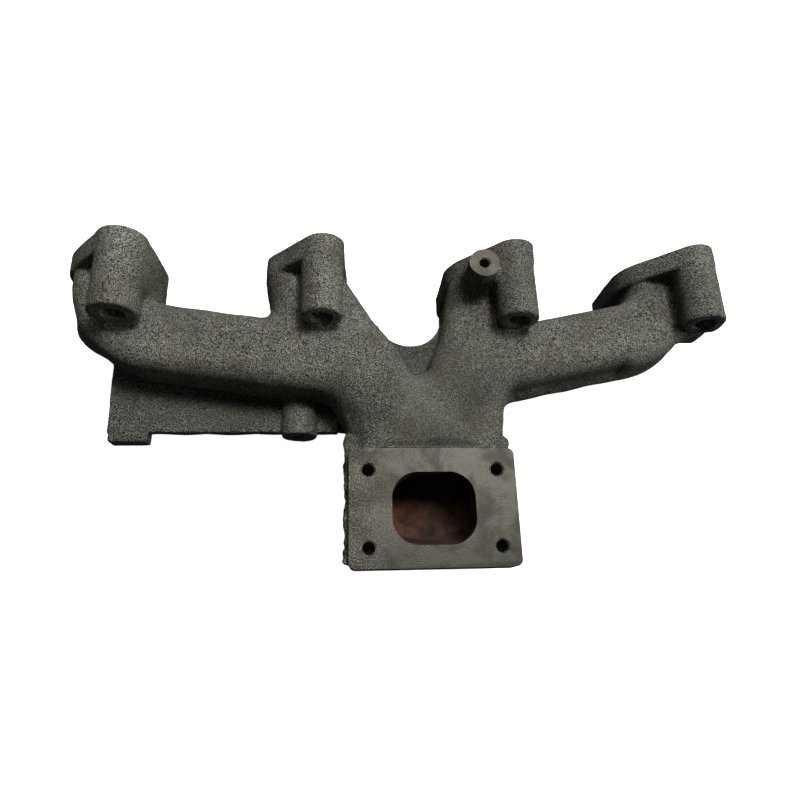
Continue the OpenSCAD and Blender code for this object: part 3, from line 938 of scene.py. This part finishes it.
def machined_iron(name):
    """Flat machined face with cutter marks, stains, and speckle at the flange's left side."""
    drab, pale, rust, worn = (shade(52, 48, 38), shade(84, 79, 66), shade(62, 50, 36),
                              shade(52, 49, 38))
    front_edge_tone, speck, pit, spark = (shade(44, 40, 32), shade(38, 36, 28), shade(14, 13, 9),
                               shade(108, 104, 88))
    g = Graph(name)
    stretch = g.add("ShaderNodeMapping")
    stretch.inputs["Scale"].default_value = (90, 1300, 90)
    g.link(g.place, stretch, "Vector")
    marks = g.noise(1.0, 3.0, 0.6, 0.2, stretch.outputs["Vector"])
    grain = g.noise(1100, 3.0, 0.6)
    pits = g.noise(980, 1.5, 0.5)
    blotch = g.noise(48, 4.0, 0.6, 0.3)
    stain = g.noise(42, 4.0, 0.55, 0.9)
    wash = g.noise(17, 2.0, 0.5)
    west = g.maths("MULTIPLY", g.span(g.axis(0), -0.056, -0.020, 1.0, 0.0),
                   g.span(g.axis(1), 0.05, 0.06, 1.0, 0.0))
    base = g.ramp(marks, (0.3, shade(58, 56, 42)), (0.5, shade(62, 59, 45)),
                  (0.7, shade(66, 63, 49)))
    base = g.mix(g.span(blotch, 0.50, 0.54, 0.0, 0.16), base, drab)
    base = g.mix(g.span(blotch, 0.60, 0.63, 0.0, 0.20), base, pale)
    base = g.mix(g.span(stain, 0.55, 0.60, 0.0, 0.30), base, rust)
    base = g.mix(g.span(wash, 0.45, 0.65, 0.0, 0.30), base, worn)
    # darker towards the face's front edge, at low Y
    base = g.mix(g.span(g.axis(1), -0.036, -0.010, 0.85, 0.0), base, front_edge_tone)
    base = g.mix(g.span(grain, 0.52, 0.66, 0.0, 0.55), base, speck)
    base = g.mix(g.maths("MULTIPLY", g.span(pits, 0.53, 0.57, 0.0, 1.0), west), base, pit)
    base = g.mix(g.maths("MULTIPLY", g.span(pits, 0.40, 0.47, 0.9, 0.0), west), base, spark)
    g.link(base, g.shader, "Base Color")
    g.shader.inputs["Metallic"].default_value = 0.3
    g.link(g.span(blotch, 0.45, 0.65, 0.45, 0.66), g.shader, "Roughness")
    normal = g.bump(marks, 0.00010, 0.4)
    normal = g.bump(blotch, 0.0004, 0.25, normal)
    g.link(g.bump(grain, 0.0003, 0.5, normal), g.shader, "Normal")
    return g.material


def rusty_bore(name):
    """Matt brown lining of the gas passages."""
    g = Graph(name)
    coarse = g.noise(75, 5.0, 0.6, 0.5)
    fine = g.noise(520, 4.0, 0.6)
    base = g.ramp(coarse, (0.32, shade(36, 28, 24)), (0.5, shade(62, 43, 34)),
                  (0.66, shade(92, 60, 44)))
    base = g.mix(g.span(fine, 0.4, 0.65, 0.0, 0.6), base, shade(52, 40, 34))
    g.link(base, g.shader, "Base Color")
    g.shader.inputs["Roughness"].default_value = 0.95
    g.shader.inputs["Specular IOR Level"].default_value = 0.15
    normal = g.bump(coarse, 0.0016, 0.5)
    g.link(g.bump(fine, 0.0006, 0.8, normal), g.shader, "Normal")
    return g.material


# ------------------------------------------------------------------ build
low = np.array([-246.0, -44.0, -66.0])
high = np.array([216.0, 186.0, 54.0])
grid = sample(low, high)
points, quads = zero_level(grid, low)
slopes = slope_lattice(grid, low)
points = settle(points, slopes)
whole = quad_object("casting", points, quads)
planes, holes = cutters()
for solid in (planes, holes):
    whole.data = combine(whole, solid, "DIFFERENCE")

skin = cast_iron("sand_cast_iron", shade(18, 18, 14), shade(166, 165, 150))
# darker copy of the cast skin: painted shade for the bracket plate, foot and web and for the
# gusset web
shaded_skin = cast_iron("bracket_cast_iron", shade(13, 13, 10), shade(134, 138, 125), 1.1)
bright = machined_iron("machined_iron")
bore = rusty_bore("rusty_bore")
SKIN_SLOT, BRIGHT_SLOT, BORE_SLOT = 0, 1, 2

# CAD nodes that are drawn as one piece with the node before the colon
MERGED = {"elbow_1": ("elbow_1_port",), "elbow_4": ("elbow_4_port",),
          "turbo_elbow_left": ("turbo_elbow_right",), "collector_right": ("throat_3",),
          "collector_left": ("throat_2",)}


def finish_piece(name, mesh, node):
    """Materials by face, true surface normals, and the piece's place in the model."""
    mesh.name = name
    mesh.validate()
    mesh.materials.clear()
    # these pieces take the painted-shade copy of the skin
    shaded = node in ("bracket_plate", "bracket_foot", "bracket_web", "gusset_web")
    for material in (shaded_skin if shaded else skin, bright, bore):    # in the order of the slots
        mesh.materials.append(material)
    loops, faces, verts = len(mesh.loops), len(mesh.polygons), len(mesh.vertices)
    mesh.polygons.foreach_set("use_smooth", np.ones(faces, bool))
    mesh.set_sharp_from_angle(angle=math.radians(32))
    corner = np.empty(3 * loops, np.float32)
    mesh.corner_normals.foreach_get("vector", corner)
    corner = corner.reshape(-1, 3)
    place = np.empty(3 * verts, np.float32)
    mesh.vertices.foreach_get("co", place)
    place = place.reshape(-1, 3)
    vertex = np.empty(loops, np.int32)
    mesh.loops.foreach_get("vertex_index", vertex)
    slope = normal_at(slopes, place)[vertex]
    # the field's own normal, where a corner lies on the field and faces nearly the same way
    close = np.abs(casting(place))[vertex] < 0.15
    use = close & (np.sum(slope * corner, axis=1) > 0.93)
    corner[use] = slope[use]
    centre = np.empty(3 * faces, np.float32)
    mesh.polygons.foreach_get("center", centre)
    centre = centre.reshape(-1, 3)
    facing = np.empty(3 * faces, np.float32)
    mesh.polygons.foreach_get("normal", facing)
    facing = facing.reshape(-1, 3)

    def flat(axis, value):
        return (np.abs(centre[:, axis] - value) < 0.02) & (np.abs(facing[:, axis]) > 0.9)
    slot = np.full(faces, SKIN_SLOT, np.int32)
    # the wall of a gas passage, well inside the skin
    hollow = cavity(centre.astype(np.float32))
    slot[(np.abs(hollow) < 1.3) & (outside(centre.astype(np.float32)) < -0.8)] = BORE_SLOT
    slot[flat(2, 0) | flat(1, HEAD_Y) | flat(2, SENSOR_Z)] = BRIGHT_SLOT
    mesh.polygons.foreach_set("material_index", slot)
    mesh.normals_split_custom_set([tuple(n) for n in corner])
    mesh.transform(Matrix.Scale(MM, 4))
    piece = bpy.data.objects.new(name, mesh)
    bpy.context.scene.collection.objects.link(piece)
    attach(piece, "root")
    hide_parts(node, *MERGED.get(node, ()))
    slots = {"turbo_flange": "machined_iron", "sensor_boss": "machined_iron",
             "gusset_web": "bracket_casting"}
    ("bracket_casting" if node.startswith("bracket")
            else slots.get(node, "cast_skin"))


for node, region in region_list():
    finish_piece(f"cast_{node}", combine(whole, region, "INTERSECT"), node)
    whole.data = combine(whole, region, "DIFFERENCE")
finish_piece("cast_collector_right", whole.data.copy(), "collector_right")
bpy.data.objects.remove(whole)


# ------------------------------------------------------------------ floor, light and camera
def studio():
    """White floor that lights nothing, a dim world, and four lamps."""
    z = cad_bounds[0][2]
    floor = mesh_object("floor", [(-6, -6, z), (6, -6, z), (6, 6, z), (-6, 6, z)], [(0, 1, 2, 3)])
    floor.visible_diffuse = False
    floor.visible_glossy = False
    pale = Graph("pale_floor")
    base = pale.ramp(pale.noise(3.0, 2.0), (0.3, (0.86, 0.86, 0.86)), (0.7, (0.9, 0.9, 0.9)))
    pale.link(base, pale.shader, "Base Color")
    pale.shader.inputs["Roughness"].default_value = 0.9
    pale.shader.inputs["Emission Color"].default_value = (1, 1, 1, 1)
    pale.shader.inputs["Emission Strength"].default_value = 0.98
    floor.data.materials.append(pale.material)
    world = bpy.data.worlds.new("studio")
    bpy.context.scene.world = world
    world.use_nodes = True
    world.node_tree.nodes["Background"].inputs["Color"].default_value = (1, 1, 1, 1)
    world.node_tree.nodes["Background"].inputs["Strength"].default_value = 0.035
    # name, place in metres, size in metres, power in watts
    lights = (("key", (0.38, 0.56, 1.48), 0.42, 22), ("top", (0.0, 0.75, 1.70), 0.9, 8),
              ("side", (1.50, -0.05, 0.42), 0.6, 10), ("back", (0.20, 1.70, 0.30), 0.8, 6))
    target = Vector((-0.01, 0.08, -0.01))
    for name, place, size, power in lights:
        data = bpy.data.lights.new(name, "AREA")
        data.size, data.energy = size, power
        lamp = bpy.data.objects.new(name, data)
        lamp.location = place
        lamp.rotation_euler = (target - Vector(place)).to_track_quat("-Z", "Y").to_euler()
        bpy.context.scene.collection.objects.link(lamp)


def camera():
    """Camera from its three axes and its place, in metres."""
    right = (0.99585, -0.02506, 0.08750)
    down = (0.00493, -0.94507, -0.32683)
    ahead = (0.09089, 0.32591, -0.94102)
    place = (-0.05672, -0.05893, 0.37760)
    data = bpy.data.cameras.new("photo_view")
    data.lens, data.sensor_width = 27, 36
    data.clip_start, data.clip_end = 0.01, 50
    view = bpy.data.objects.new("photo_view", data)
    view.matrix_world = Matrix([(right[k], -down[k], -ahead[k], place[k]) for k in range(3)]
                               + [(0, 0, 0, 1)])
    bpy.context.scene.collection.objects.link(view)
    bpy.context.scene.camera = view


studio()
camera()
bpy.context.scene.view_settings.view_transform = "Standard"

bpy.context.view_layer.update()
